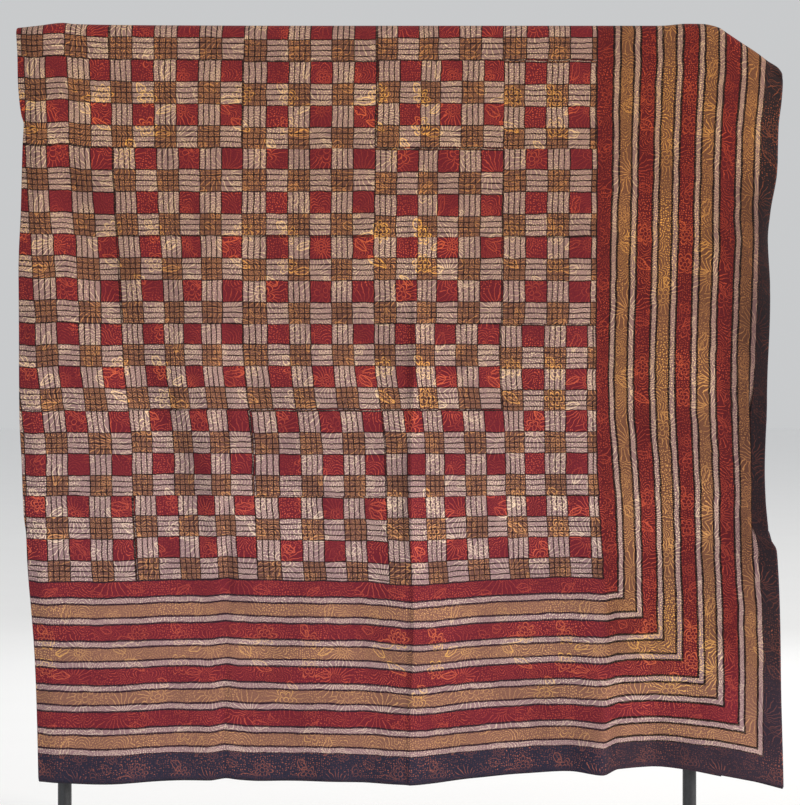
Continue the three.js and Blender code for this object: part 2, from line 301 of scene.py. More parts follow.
# Cloth taken up (+) or let out (-) across the front, from the free edge leftwards
TAKEN_UP = [
    dict(u=0.44, width=0.10, start=0.42, whole=0.56, take=0.0120),
    dict(u=0.58, width=0.03, start=-0.10, whole=0.00, take=0.0056),
    dict(u=0.62, width=0.03, start=0.30, whole=0.60, take=0.0080),
    dict(u=0.74, width=0.09, start=0.05, whole=0.40, take=0.0040),
    dict(u=0.86, width=0.02, start=-0.10, whole=0.00, take=-0.0032),
    dict(u=0.97, width=0.06, start=0.10, whole=0.45, take=0.0150),
    dict(u=1.09, width=0.05, start=0.08, whole=0.25, take=0.0030),
    dict(u=0.98, width=0.12, start=0.115, whole=0.00, take=-0.0062),
]

# How folds and creases go again
FADE = 0.16  # the part of the fall over which one goes
STAYS = 1.2  # gone only past the hem, so it stays

# Soft folds of the two falls: where each line runs at the top and at the hem, where down the fall it
# starts, is whole and has gone again, how far it stands out (+) or goes in (-), and half its width
FRONT_FOLDS = [
    dict(top=-0.470, hem=-0.450, start=0.50, whole=0.80, gone=STAYS, rise=0.0085, reach=0.130),
    dict(top=-0.622, hem=-0.170, start=0.12, whole=0.30, gone=0.74, rise=-0.0075, reach=0.070),
    dict(top=-0.304, hem=-0.284, start=0.12, whole=0.34, gone=0.80, rise=0.006, reach=0.120),
    dict(top=-0.120, hem=-0.130, start=0.10, whole=0.50, gone=STAYS, rise=0.004, reach=0.120),
    dict(top=0.018, hem=0.018, start=0.35, whole=0.70, gone=STAYS, rise=0.005, reach=0.090),
    dict(top=0.190, hem=0.200, start=0.20, whole=0.60, gone=STAYS, rise=-0.005, reach=0.120),
    dict(top=0.325, hem=0.325, start=0.55, whole=0.95, gone=STAYS, rise=0.005, reach=0.070),
    dict(top=0.400, hem=0.410, start=0.45, whole=0.75, gone=STAYS, rise=-0.004, reach=0.080),
    dict(top=0.560, hem=0.590, start=0.30, whole=0.90, gone=STAYS, rise=0.010, reach=0.150),
]
BACK_FOLDS = [
    dict(top=-0.420, hem=-0.440, start=0.10, whole=0.50, gone=STAYS, rise=0.009, reach=0.170),
    dict(top=-0.190, hem=-0.170, start=0.20, whole=0.60, gone=STAYS, rise=-0.007, reach=0.140),
    dict(top=0.060, hem=0.080, start=0.10, whole=0.60, gone=STAYS, rise=0.008, reach=0.160),
    dict(top=0.300, hem=0.290, start=0.30, whole=0.70, gone=STAYS, rise=-0.007, reach=0.120),
    dict(top=0.470, hem=0.500, start=0.10, whole=0.50, gone=STAYS, rise=0.009, reach=0.150),
]

# Sharp creases left by storage: lines down the cloth, where down the fall each starts, is whole and has
# gone again, how far it stands out (+) or goes in (-), and the reach of its flanks. Lines across follow
CREASES_DOWN = [
    dict(top=-0.272, hem=-0.279, start=0.10, whole=0.75, gone=STAYS, rise=-0.0030, left=0.030, right=0.013),
    dict(top=-0.308, hem=-0.290, start=0.10, whole=0.30, gone=0.78, rise=0.0040, left=0.120, right=0.022),
    dict(top=-0.360, hem=-0.256, start=0.34, whole=0.54, gone=0.80, rise=0.0050, left=0.030, right=0.020),
    dict(top=0.020, hem=0.018, start=0.14, whole=0.34, gone=STAYS, rise=0.0064, left=0.090, right=0.110),
    dict(top=0.022, hem=0.018, start=0.16, whole=0.40, gone=STAYS, rise=0.0046, left=0.0090, right=0.034),
    dict(top=0.022, hem=0.018, start=0.28, whole=0.50, gone=0.84, rise=0.0036, left=0.0075, right=0.018),
    dict(top=0.322, hem=0.325, start=0.60, whole=0.98, gone=STAYS, rise=0.0070, left=0.055, right=0.015),
    dict(top=0.405, hem=0.402, start=0.50, whole=0.80, gone=STAYS, rise=-0.0024, left=0.020, right=0.030),
]
CREASES_ACROSS = [
    dict(fall=0.120, rise=0.0016, reach=0.011),
    dict(fall=0.305, rise=-0.0014, reach=0.011),
    dict(fall=0.489, rise=0.0016, reach=0.012),
    dict(fall=0.672, rise=-0.0018, reach=0.012),
]

# Creases wander off their lines, and are uneven along them, in waves: how many radians a wave turns in
# one fall or one metre, how it differs from crease to crease, and how much it takes off
CREASE_WANDER = 0.003
WANDER_DOWN = dict(turn=17, step=40)
UNEVEN_DOWN = dict(turn=31, step=50, share=0.25)
WANDER_ACROSS = dict(turn=13, step=40)
UNEVEN_ACROSS = dict(turn=9, step=70, share=0.4)

# Gentle unevenness of the hung cloth: waves across and down it, in metres
RUMPLES = [
    dict(across=0.31, down=0.90, phase=0.4, height=0.0012),
    dict(across=-0.19, down=0.47, phase=2.1, height=0.0009),
    dict(across=0.115, down=0.33, phase=4.0, height=0.0006),
    dict(across=-0.083, down=0.21, phase=1.2, height=0.0004),
    dict(across=0.60, down=-0.26, phase=5.2, height=0.0008),
]

# Fineness of the cloth
EDGE_COLUMNS = 26
OUTER_COLUMNS = [
    dict(start=TUCK_FROM, columns=88),
    dict(start=0.565, columns=36),
    dict(start=0.645, columns=39),
    dict(start=0.880, columns=30),
    dict(start=0.975, columns=36),
]
BEND_COLUMNS = 5
INNER_COLUMNS = 32
FRONT_ROWS = 214
OVER_ROWS = 14
BACK_ROWS = 84

# The map for baking: parts of one square for the front, the back and the hidden inner layer
BAKE_FRONT = dict(left=0.002, width=0.680)
BAKE_BACK = dict(left=0.690, width=0.285)
BAKE_INNER = dict(left=0.982, width=0.016)
BAKE_MARGIN = 0.002
BAKE_LEAST_STEP = 0.001  # so that a turned hem keeps its place

# Studio: a plain floor, soft light and a camera at the photograph's angle, in metres and watts
FLOOR_SIZE = 120.0
FLOOR_GAP = 0.0005  # under the feet
SKY_TINT = (0.97, 0.985, 1.0, 1.0)
SKY_STRENGTH = 0.60
LIGHTS_AIM = (0.0, 0.0, 0.9)
LIGHTS = [
    dict(name="key", place=(13.5, -7.5, 6.0), side=5.2, power=2730.0, tint=(1.0, 0.96, 0.90)),
    dict(name="fill", place=(-2.4, -2.8, 0.8), side=2.0, power=22.0, tint=(0.82, 0.92, 1.0)),
    dict(name="behind", place=(0.5, 3.4, 2.4), side=2.5, power=24.0, tint=(1.0, 1.0, 1.0)),
]
SENSOR_HEIGHT = 36.0  # of the camera, in millimetres
CAMERA_DISTANCE = 2.9  # from the front of the cloth
CAMERA_HEIGHT = 0.8995
CLOTH_FRONT = 0.025  # in front of the rail's middle
SEEN_HEIGHT = 1.288  # at the front of the cloth


def curve_through(rows, key, column):
    """A curve through a table's rows that never swings past them."""
    at = np.array([row[key] for row in rows])
    value = np.array([row[column] for row in rows])
    slope = np.diff(value) / np.diff(at)
    before = slope[:-1]
    after = slope[1:]
    same_way = before * after > 0
    tangent = np.zeros_like(value)
    tangent[0] = slope[0]
    tangent[-1] = slope[-1]
    inner = tangent[1:-1]
    inner[same_way] = (2 * before * after)[same_way] / (before + after)[same_way]

    def read(x):
        inside = np.clip(x, at[0], at[-1])
        last = np.clip(np.searchsorted(at, inside) - 1, 0, len(at) - 2)
        span = at[last + 1] - at[last]
        s = (inside - at[last]) / span
        ease = s * s * (3 - 2 * s)
        bow = s * (1 - s) * span
        rise = value[last + 1] - value[last]
        return value[last] + rise * ease + bow * (tangent[last] * (1 - s) - tangent[last + 1] * s)

    return read


def smoothstep(x, start, end):
    """0 at start, 1 at end, smooth between them."""
    s = np.clip((x - start) / (end - start), 0, 1)
    return s * s * (3 - 2 * s)


def lerp(a, b, share):
    """The place that lies this share of the way from a to b."""
    return a + (b - a) * share


left_fold = curve_through(LEFT_FOLD, "fall", "x")
field_edge = curve_through(RIGHT_BORDER, "fall", "field")
first_stripe = curve_through(RIGHT_BORDER, "fall", "stripe")
border_drawn = curve_through(RIGHT_BORDER, "fall", "drawn")
free_edge = curve_through(RIGHT_BORDER, "fall", "edge")
tuck_hides = curve_through(TUCK, "fall", "hidden")
ridge_drop = curve_through(RIDGE, "x", "drop")
waist_sag = curve_through(HEM, "x", "waist")
hem_sag = curve_through(HEM, "x", "sag")
front_length = curve_through(FRONT_LENGTH, "fall", "v")


def taken_up(u, fall):
    """How much cloth the folds between the field's edge and u take up."""
    total = np.zeros_like(u + fall)
    for row in TAKEN_UP:
        passed = smoothstep(u, row["u"] - row["width"], row["u"] + row["width"])
        total += row["take"] * passed * smoothstep(fall, row["start"], row["whole"])
    return total


def fold_at(fall):
    """The flat place u of the fold down the left side."""
    most = taken_up(np.full_like(fall, CLOTH_WIDTH), fall)
    seen = field_edge(fall) - left_fold(fall) - LAYER_SPACING / 2
    return BORDER_WIDTH + (seen + most) / FIELD_SPREAD


def place_across(u, fall):
    """Where the flat place u of the outer layer hangs, and how far its edge has curled back."""
    in_field = field_edge(fall) - (u - BORDER_WIDTH) * FIELD_SPREAD + taken_up(u, fall)
    past_stripe = (u - FIRST_STRIPE) / (BORDER_WIDTH - FIRST_STRIPE)
    first_red = lerp(first_stripe(fall), field_edge(fall), past_stripe)
    stripes = first_stripe(fall) + (FIRST_STRIPE - u) * border_drawn(fall)
    x = np.where(u > BORDER_WIDTH, in_field, np.where(u > FIRST_STRIPE, first_red, stripes))
    in_tuck = np.clip((TUCK_FROM - u) / (TUCK_FROM - TUCK_TO), 0, 1)
    hidden = tuck_hides(fall)
    groove = TUCK_DEPTH * hidden * (1 - np.abs(2 * in_tuck - 1))
    near_edge = np.clip(1 - u / CURL_FROM, 0, 1) ** 2
    shift = free_edge(fall) - (first_stripe(fall) + FIRST_STRIPE * border_drawn(fall) - hidden)
    curl = CURL_DEPTH * np.clip(-shift, 0, None) * near_edge
    return x - hidden * in_tuck + shift * near_edge, curl + groove


def grown(row, fall):
    """How far a fold or crease has come at this part of the fall, 0 to 1."""
    going = smoothstep(fall, row["gone"] - FADE, row["gone"])
    return smoothstep(fall, row["start"], row["whole"]) * (1 - going)


def soft_folds(folds, x, fall):
    """How far a fall stands out from the posts."""
    total = np.full_like(x, LIFT)
    for fold in folds:
        line = lerp(fold["top"], fold["hem"], fall)
        off = np.clip(np.abs(x - line) / fold["reach"], 0, 1)
        total += fold["rise"] * grown(fold, fall) * (1 + np.cos(np.pi * off)) / 2
    return np.clip(total, 0, None) * smoothstep(fall, 0, LIFT_REACH)


def ripple(along, place, wave):
    """A wave along a crease, -1 to 1."""
    return np.sin(along * wave["turn"] + place * wave["step"])


def uneven(along, place, wave):
    """What is left of a crease's height, up to 1."""
    return 1 - wave["share"] + wave["share"] * ripple(along, place, wave)


def sharp_line(off):
    """1 on a crease's line, falling to 0 at the end of its reach."""
    off = np.clip(off, 0, 1)
    return (1 - off) ** 2 * (1 + off)


def storage_creases(x, fall):
    """Sharp lines down and across the cloth, uneven along their length."""
    total = np.zeros_like(x)
    for crease in CREASES_DOWN:
        wander = CREASE_WANDER * ripple(fall, crease["top"], WANDER_DOWN)
        line = lerp(crease["top"], crease["hem"], fall) + wander
        reach = np.where(x < line, crease["left"], crease["right"])
        height = crease["rise"] * grown(crease, fall) * uneven(fall, crease["hem"], UNEVEN_DOWN)
        total += height * sharp_line(np.abs(x - line) / reach)
    for crease in CREASES_ACROSS:
        wander = CREASE_WANDER * ripple(x, crease["fall"], WANDER_ACROSS)
        off = np.abs((fall - crease["fall"]) * HEM_DROP + wander) / crease["reach"]
        total += crease["rise"] * uneven(x, crease["fall"], UNEVEN_ACROSS) * sharp_line(off)
    return total


def rumples(x, fall):
    """Gentle waves all over a fall, none at the rail."""
    down = fall * HEM_DROP
    total = np.zeros_like(x)
    for wave in RUMPLES:
        turn = 2 * np.pi * (x / wave["across"] + down / wave["down"])
        total += wave["height"] * np.sin(turn + wave["phase"])
    return total * smoothstep(fall, 0, LIFT_REACH)


def on_rail(x):
    """1 on the rail, 0 at the cloth's sides."""
    past_left = smoothstep(RAIL_LEFT - x, END_CLEARANCE, RAIL_LEFT - LEFT_FOLD[0]["x"])
    past_right = smoothstep(x - RAIL_RIGHT, END_CLEARANCE, RIGHT_BORDER[0]["edge"] - RAIL_RIGHT)
    return 1 - np.maximum(past_left, past_right)


def outer_column(u, share, back):
    return dict(layer="outer", u=u, share=share, out=LAYER_SPACING, face=1.0, back=back)


def bend_column(turn):
    out = LAYER_SPACING / 2 * (1 + math.cos(turn))
    return dict(layer="bend", u=0.0, share=turn, out=out, face=math.cos(turn), back=0.0)


def inner_column(share, back):
    return dict(layer="inner", u=0.0, share=share, out=0.0, face=-1.0, back=back)


def cloth_columns():
    """Columns from the free edge, round the fold on the left, to the inner layer's edge."""
    columns = [outer_column(step["depth"], 0.0, step["back"]) for step in TURNED_HEM]
    fold = fold_at(np.array(0.0))
    places = [np.linspace(HEM_STEP, TUCK_FROM, EDGE_COLUMNS, endpoint=False)]
    ends = [row["start"] for row in OUTER_COLUMNS[1:]] + [float(fold)]
    for row, end in zip(OUTER_COLUMNS, ends):
        places.append(np.linspace(row["start"], end, row["columns"], endpoint=False))
    for u in np.concatenate(places + [[float(fold)]]):
        columns.append(outer_column(u, u / fold, 0.0))
    for turn in np.linspace(0, np.pi, BEND_COLUMNS + 2)[1:-1]:
        columns.append(bend_column(turn))
    for share in np.linspace(0, 1, INNER_COLUMNS):
        columns.append(inner_column(share, 0.0))
    for step in reversed(TURNED_HEM):
        columns.append(inner_column(1 - step["depth"], step["back"]))
    return columns


def cloth_rows():
    """Rows from the front hem up, over the rail and down to the hem behind."""
    rows = []
    for step in TURNED_HEM:
        rows.append(dict(part="front", fall=1 - step["depth"] / HEM_DROP, turn=0.0, back=step["back"]))
    for fall in np.linspace(1 - HEM_STEP / HEM_DROP, 0, FRONT_ROWS, endpoint=False):
        rows.append(dict(part="front", fall=fall, turn=0.0, back=0.0))
    for turn in np.linspace(-np.pi / 2, np.pi / 2, OVER_ROWS + 1):
        rows.append(dict(part="over", fall=0.0, turn=turn, back=0.0))
    for fall in np.linspace(0, 1 - HEM_STEP / BACK_DROP, BACK_ROWS + 1)[1:]:
        rows.append(dict(part="back", fall=fall, turn=0.0, back=0.0))
    for step in reversed(TURNED_HEM):
        rows.append(dict(part="back", fall=1 - step["depth"] / BACK_DROP, turn=0.0, back=step["back"]))
    return rows


def hung_places(columns, fall):
    """Across each row: where every column hangs, its flat place u, and its curl."""
    layer = np.array([column["layer"] for column in columns])
    share = np.array([column["share"] for column in columns])
    edge_u = np.array([column["u"] for column in columns])
    fold = fold_at(fall)
    u_outer = np.where(share > 0, share * fold, edge_u)
    x_outer, curl = place_across(u_outer, fall)
    bend = left_fold(fall) + LAYER_SPACING / 2
    x_bend = bend - LAYER_SPACING / 2 * np.sin(share)
    x_inner = lerp(bend, INNER_EDGE, share)
    u_inner = lerp(fold, CLOTH_WIDTH, share)
    is_outer = layer == "outer"
    is_bend = layer == "bend"
    x = np.where(is_outer, x_outer, np.where(is_bend, x_bend, x_inner))
    u = np.where(is_outer, u_outer, np.where(is_bend, fold, u_inner))
    return x, u, np.where(is_outer, curl, 0.0)


def bedspread_points():
    """Every point of the hung cloth, with its place on the flat cloth."""
    columns = cloth_columns()
    rows = cloth_rows()
    part = np.array([row["part"] for row in rows])[:, None]
    fall = np.array([row["fall"] for row in rows])[:, None]
    turn = np.array([row["turn"] for row in rows])[:, None]
    back = np.array([row["back"] for row in rows])[:, None]
    back = back + np.array([column["back"] for column in columns])
    face = np.array([column["face"] for column in columns])
    out = np.array([column["out"] for column in columns]) - face * back * HEM_STEP
    is_front = part == "front"
    is_over = part == "over"

    top = np.zeros((1, len(columns)))
    top_x = hung_places(columns, top)[0]
    drop = ridge_drop(top_x)
    level = fall + drop * (1 - fall) / HEM_DROP
    x, u, curl = hung_places(columns, level)

    hold = on_rail(top_x)
    half_wide = lerp(FREE_LOOP, RAIL_RADIUS + FALL_CLEARANCE, hold) + CLOTH_HALF
    half_high = lerp(FREE_LOOP, RAIL_RADIUS + RAIL_CLEARANCE, hold) + CLOTH_HALF
    spring = RAIL_TOP + RAIL_CLEARANCE + CLOTH_HALF - drop - half_high
    outer_share = np.clip(out / LAYER_SPACING, 0, 1)
    outer_drop = np.where(is_front, HEM_DROP, BACK_DROP)
    inner_drop = INNER_DROP + INNER_DIP * smoothstep(x, INNER_DIP_FROM, INNER_DIP_TO) * is_front
    hem = RAIL_TOP - lerp(inner_drop, outer_drop, outer_share)
    below_waist = np.clip((fall - WAIST) / (1 - WAIST), 0, 1) ** 2
    sag = waist_sag(x) * smoothstep(fall, SAG_FROM, WAIST) + (hem_sag(x) - waist_sag(x)) * below_waist
    sag = sag * outer_share * is_front
    folds = np.where(is_front, soft_folds(FRONT_FOLDS, x, fall), soft_folds(BACK_FOLDS, x, fall))
    creases = storage_creases(x, fall) * outer_share
    kept_in = INNER_IN * (1 - outer_share) * smoothstep(fall, 0, LIFT_REACH)
    stand = half_wide + out + folds + creases + rumples(x, fall) - curl - kept_in
    y = np.where(is_over, (half_wide + out) * np.sin(turn), np.where(is_front, -stand, stand))
    z = np.where(is_over, spring + (half_high + out) * np.cos(turn), lerp(spring, hem, fall) - sag)

    over_length = np.pi * (RAIL_RADIUS + LAYER_SPACING)
    top_v = FRONT_LENGTH[0]["v"]
    v_over = top_v + over_length * (turn / np.pi + 0.5)
    v_back = lerp(top_v + over_length, CLOTH_LENGTH, fall)
    pulled = PULLED_UP * (1 - smoothstep(x, PULLED_WHOLE["x"], PULLED_GONE["x"]))
    pulled = pulled * (1 - smoothstep(fall, PULLED_WHOLE["fall"], PULLED_GONE["fall"]))
    v = np.where(is_front, front_length(fall), np.where(is_over, v_over, v_back)) - pulled
    return x + CLOTH_MIDDLE, y, z, u, v


def bake_map(u, v, columns, rows):
    """Places of each face's corners on one square: the front, the back and the hidden inner layer."""
    steps_across = np.abs(np.diff(u[rows // 2]))
    steps_along = np.abs(np.diff(v[:, columns // 2]))
    across = np.concatenate([[0], np.cumsum(np.maximum(steps_across, BAKE_LEAST_STEP))])
    along = np.concatenate([[0], np.cumsum(np.maximum(steps_along, BAKE_LEAST_STEP))])
    layer = [column["layer"] for column in cloth_columns()]
    part = [row["part"] for row in cloth_rows()]
    inner = layer.index("inner")
    behind = part.index("back") - 1
    row, column = np.meshgrid(np.arange(rows - 1), np.arange(columns - 1), indexing="ij")
    is_inner = column >= inner
    is_back = (row >= behind) & ~is_inner
    left = np.where(is_inner, BAKE_INNER["left"], np.where(is_back, BAKE_BACK["left"], BAKE_FRONT["left"]))
    width = np.where(is_back, BAKE_BACK["width"], BAKE_FRONT["width"])
    width = np.where(is_inner, BAKE_INNER["width"], width)
    first_column = np.where(is_inner, across[inner], 0)
    span = np.where(is_inner, across[-1] - across[inner], across[inner])
    first_row = np.where(is_back, along[behind], 0)
    height = np.where(is_inner, along[-1], np.where(is_back, along[-1] - along[behind], along[behind]))
    corners = []
    for down, side in ((1, 0), (1, 1), (0, 1), (0, 0)):
        s = left + width * (across[column + side] - first_column) / span
        t = (along[row + down] - first_row) / height * (1 - 2 * BAKE_MARGIN) + BAKE_MARGIN
        corners.append(np.stack([s, t], axis=-1))
    return np.stack(corners, axis=2).reshape(-1, 2)


def bedspread():
    """The cloth as one thin sheet, with its flat map and its map for baking."""
    x, y, z, u, v = bedspread_points()
    rows, columns = x.shape
    points = np.stack([x, y, z], axis=-1).reshape(-1, 3)
    index = np.arange(rows * columns).reshape(rows, columns)
    corners = [index[:-1, :-1], index[:-1, 1:], index[1:, 1:], index[1:, :-1]]
    faces = np.stack(corners[::-1], axis=-1).reshape(-1, 4)
    mesh = bpy.data.meshes.new("bedspread_cloth")
    mesh.from_pydata(points.tolist(), [], faces.tolist())
    flat = mesh.uv_layers.new(name="flat_cloth")
    flat_uv = np.stack([u, v], axis=-1).reshape(-1, 2)
    flat.data.foreach_set("uv", flat_uv[faces.reshape(-1)].astype(np.float32).ravel())
    baked = mesh.uv_layers.new(name="OFBake")
    baked.data.foreach_set("uv", bake_map(u, v, columns, rows).astype(np.float32).ravel())
    mesh.validate()
    mesh.update()
    cloth = bpy.data.objects.new("bedspread_cloth", mesh)
    bpy.context.collection.objects.link(cloth)
    mesh.shade_smooth()
    return cloth


def colour(red, green, blue):
    """A screen colour, 0 to 255, as linear light, by the usual curve of a screen."""
    def linear(c):
        c = c / 255
        return c / 12.92 if c <= 0.04045 else ((c + 0.055) / 1.055) ** 2.4
    return (linear(red), linear(green), linear(blue), 1.0)


class Term:
    """A number worked out by shader nodes, written as plain arithmetic."""

    def __init__(self, finish, socket):
        self.finish = finish
        self.socket = socket

    def __add__(self, other):
        return self.finish.math("ADD", self, other)

    __radd__ = __add__

    def __sub__(self, other):
        return self.finish.math("SUBTRACT", self, other)

    def __rsub__(self, other):
        return self.finish.math("SUBTRACT", other, self)

    def __mul__(self, other):
        return self.finish.math("MULTIPLY", self, other)

    __rmul__ = __mul__

    def __truediv__(self, other):
        return self.finish.math("DIVIDE", self, other)

    def __pow__(self, other):
        return self.finish.math("POWER", self, other)


class Finish:
    """A material and short names for the nodes that make its pattern."""

    MIX_FIRST = 6  # the colour sockets of a mix node
    MIX_SECOND = 7
    MIX_RESULT = 2

    def __init__(self, name):
        self.material = bpy.data.materials.new(name)
        self.material.use_nodes = True
        self.tree = self.material.node_tree
        self.shader = self.tree.nodes["Principled BSDF"]

    def node(self, kind, **settings):
        made = self.tree.nodes.new(kind)
        for setting, value in settings.items():
            setattr(made, setting, value)
        return made

    def put(self, socket, value):
        if isinstance(value, Term):
            self.tree.links.new(value.socket, socket)
        elif isinstance(value, bpy.types.NodeSocket):
            self.tree.links.new(value, socket)
        else:
            socket.default_value = value

    def math(self, operation, *values):
        made = self.node("ShaderNodeMath", operation=operation)
        for socket, value in zip(made.inputs, values):
            self.put(socket, value)
        return Term(self, made.outputs[0])

    def least(self, a, b):
        return self.math("MINIMUM", a, b)

    def most(self, a, b):
        return self.math("MAXIMUM", a, b)

    def size(self, a):
        return self.math("ABSOLUTE", a)

    def whole(self, a):
        return self.math("FLOOR", a)

    def rest(self, a):
        return self.math("FRACT", a)

    def under(self, a, limit):
        return self.math("LESS_THAN", a, limit)

    def over(self, a, limit):
        return self.math("GREATER_THAN", a, limit)

    def far(self, across, along):
        return self.math("SQRT", across * across + along * along)

    def share(self, value, start, end):
        """0 at start, 1 at end, smooth between them."""
        made = self.node("ShaderNodeMapRange", interpolation_type="SMOOTHSTEP")
        for socket, item in zip(made.inputs, (value, start, end, 0.0, 1.0)):
            self.put(socket, item)
        return Term(self, made.outputs[0])

    def line(self, distance, half, soft=0.5):
        """1 on a line that is half wide to each side."""
        return self.share(self.size(distance), half + soft, half - soft)

    def mix(self, share, a, b, blend="MIX"):
        made = self.node("ShaderNodeMix", data_type="RGBA", blend_type=blend)
        self.put(made.inputs["Factor"], share)
        self.put(made.inputs[self.MIX_FIRST], a)
        self.put(made.inputs[self.MIX_SECOND], b)
        return made.outputs[self.MIX_RESULT]

    def tint(self, paint, share, darkening):
        """The paint multiplied by a colour over this share: for the darker side border and for painted
        shade.
        """
        return self.mix(share, paint, darkening, "MULTIPLY")

    def place(self, u, v):
        made = self.node("ShaderNodeCombineXYZ")
        self.put(made.inputs[0], u)
        self.put(made.inputs[1], v)
        return made.outputs[0]

    def parts(self, vector):
        made = self.node("ShaderNodeSeparateXYZ")
        self.put(made.inputs[0], vector)
        return [Term(self, socket) for socket in made.outputs]

    def noise(self, u, v, size, detail=2.0):
        """Soft unevenness with spots of this size: one number, and three for offsets."""
        made = self.node("ShaderNodeTexNoise", noise_dimensions="2D")
        self.put(made.inputs["Vector"], self.place(u, v))
        self.put(made.inputs["Scale"], 1.0 / size)
        self.put(made.inputs["Detail"], detail)
        return Term(self, made.outputs["Fac"]), self.parts(made.outputs["Color"])

    def grain(self, scale, detail):
        """Unevenness of a solid piece, by its own place."""
        made = self.node("ShaderNodeTexNoise")
        self.put(made.inputs["Vector"], self.node("ShaderNodeTexCoord").outputs["Object"])
        self.put(made.inputs["Scale"], scale)
        self.put(made.inputs["Detail"], detail)
        return Term(self, made.outputs["Fac"])

    def chance(self, u, v):
        """Three random numbers for each whole place."""
        made = self.node("ShaderNodeTexWhiteNoise", noise_dimensions="2D")
        self.put(made.inputs["Vector"], self.place(u, v))
        return self.parts(made.outputs["Color"])

    def drawn(self, luck, motif):
        """1 where a number shuffled out of luck says that the motif is there."""
        return self.over(self.rest(luck * motif["shuffle"]), motif["bare"])

    def cells(self, u, v, motif):
        """Scattered cells: the way from each cell's middle, and its three random numbers."""
        size = motif["spacing"]
        made = self.node("ShaderNodeTexVoronoi", voronoi_dimensions="2D")
        at = self.place(u / size, v / size)
        self.put(made.inputs["Vector"], at)
        self.put(made.inputs["Scale"], 1.0)
        self.put(made.inputs["Randomness"], motif["loose"])
        off = self.node("ShaderNodeVectorMath", operation="SUBTRACT")
        self.put(off.inputs[0], at)
        self.put(off.inputs[1], made.outputs["Position"])
        across, along, _ = self.parts(off.outputs[0])
        return across * size, along * size, self.parts(made.outputs["Color"])

    def bump(self, height, strength, depth):
        made = self.node("ShaderNodeBump")
        self.put(made.inputs["Strength"], strength)
        self.put(made.inputs["Distance"], depth)
        self.put(made.inputs["Height"], height)
        self.put(self.shader.inputs["Normal"], made.outputs[0])

    def set(self, socket, value):
        self.put(self.shader.inputs[socket], value)


# Dyes of the print: the ground of each area, the outlines, and the fine lines left on the ground
PALE_GROUND = colour(150, 119, 121)
RED_GROUND = colour(109, 30, 42)
FIELD_OCHRE_GROUND = colour(113, 75, 65)
BORDER_OCHRE_GROUND = colour(133, 91, 76)
SIDE_BAND_GROUND = colour(50, 39, 51)
END_BAND_GROUND = colour(42, 38, 55)
OUTLINE = colour(30, 13, 15)
END_BORDER_OUTLINE = colour(44, 22, 34)
PALE_LINES = colour(250, 223, 198)
RED_LINES = colour(211, 91, 70)
FIELD_OCHRE_LINES = colour(226, 159, 106)
BORDER_OCHRE_LINES = colour(230, 172, 115)
BAND_LINES = colour(196, 112, 88)
GOLD_LINES = colour(248, 187, 90)

# Colours multiplied over the dyes: darker along the side borders, painted shade with a warm tint towards
# the rail, and painted shade where the free edge curls back
SIDE_DARKER = dict(ground=colour(217, 207, 190), lines=colour(248, 241, 228))
# Painted shade with a warm tint towards the rail, for light that falls off at the top
PAINTED_RAIL_SHADE = dict(ground=colour(243, 235, 213), lines=colour(247, 235, 205))
# Painted shade where the free edge curls back, away from the light
PAINTED_CURL_SHADE = dict(ground=colour(200, 196, 206), lines=colour(203, 196, 204))

# Paint of the stand, and the floor
BLACK_PAINT = colour(24, 24, 27)
WORN_PAINT = colour(38, 38, 42)
FLOOR_PALE = colour(250, 250, 250)
FLOOR_PALER = colour(253, 253, 253)


def hand_drawn(cotton, u, v):
    """The printer's hand: lines sway a little and shake a little."""
    _, sway = cotton.noise(u, v, SWAY_SPOTS)
    _, shake = cotton.noise(u, v, SHAKE_SPOTS, 1.0)
    hand_u = u + (sway[0] - 0.5) * SWAY + (shake[0] - 0.5) * SHAKE
    hand_v = v + (sway[1] - 0.5) * SWAY + (shake[1] - 0.5) * SHAKE
    return hand_u, hand_v


def border_stripes(cotton, inset):
    """Runs of pale, ochre, pale and red: where ochre and red are, and the way to the nearest line."""
    run = cotton.rest((inset - BAND) / STRIPE_REPEAT)
    ochre = cotton.over(run, PALE_END) * cotton.under(run, OCHRE_END)
    red = cotton.over(run, SECOND_PALE_END)
    to_line = cotton.least(cotton.size(run), 1.0 - run)
    for edge in (PALE_END, OCHRE_END, SECOND_PALE_END):
        to_line = cotton.least(to_line, cotton.size(run - edge))
    return ochre, red, to_line * STRIPE_REPEAT


def line_bundle(cotton, at):
    """One direction of the check: whether at, in repeats, is in the bundle, and the way to its lines."""
    turn = cotton.rest(at - BUNDLE_START)
    inside = cotton.under(turn, BUNDLE_WIDTH)
    bars = turn * LINES_IN_REPEAT
    between = (bars - cotton.whole(bars + 0.5)) * (REPEAT / LINES_IN_REPEAT)
    past = cotton.least(cotton.size(turn - BUNDLE_WIDTH), 1.0 - turn) * REPEAT
    return inside, between * inside + past * (1.0 - inside)


